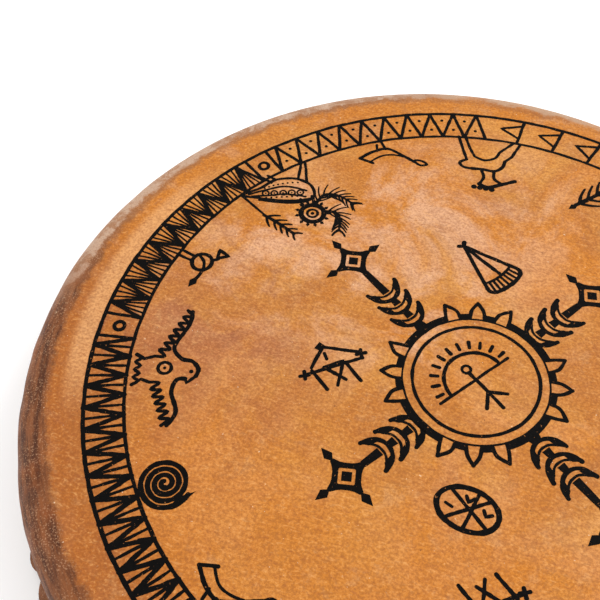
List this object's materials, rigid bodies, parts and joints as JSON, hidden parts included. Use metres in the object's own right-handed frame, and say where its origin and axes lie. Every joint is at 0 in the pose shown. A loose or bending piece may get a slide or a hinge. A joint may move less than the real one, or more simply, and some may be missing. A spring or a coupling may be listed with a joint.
{
  "type": "frame drum",
  "caption": "Round hand drum with a single rawhide head laced to a deep laminated wooden hoop, with a steel ring and a wrapped cross handle at the back.",
  "frame": {"origin": "centre of the hoop's back edge, the plane the drum lies on", "axes": "+Z out of the head, along the drum's axis; +X and +Y along two arms of the handle cross"},
  "size_m": [0.5264, 0.5264, 0.077],
  "materials": {
    "rawhide": "dry, slightly waxy rawhide, mottled orange tan",
    "wood": "oiled ash",
    "steel": "satin, lightly tarnished",
    "lacing": "stiff twisted rawhide thong",
    "suede": "dark brown suede",
    "thread": "waxed linen thread",
    "paint": "matt black brushwork"
  },
  "bodies": {
    "root": {"rawhide_head": "rawhide", "hoop_outer_ply": "wood", "hoop_middle_ply": "wood", "hoop_inner_ply": "wood", "centre_ring": "steel", "lace_1": "lacing", "handle_wrap_1": "suede", "wrap_binding_1": "thread", "lace_2": "lacing", "handle_wrap_2": "suede", "wrap_binding_2": "thread", "lace_3": "lacing", "handle_wrap_3": "suede", "wrap_binding_3": "thread", "lace_4": "lacing", "handle_wrap_4": "suede", "wrap_binding_4": "thread"}
  },
  "joints": []
}
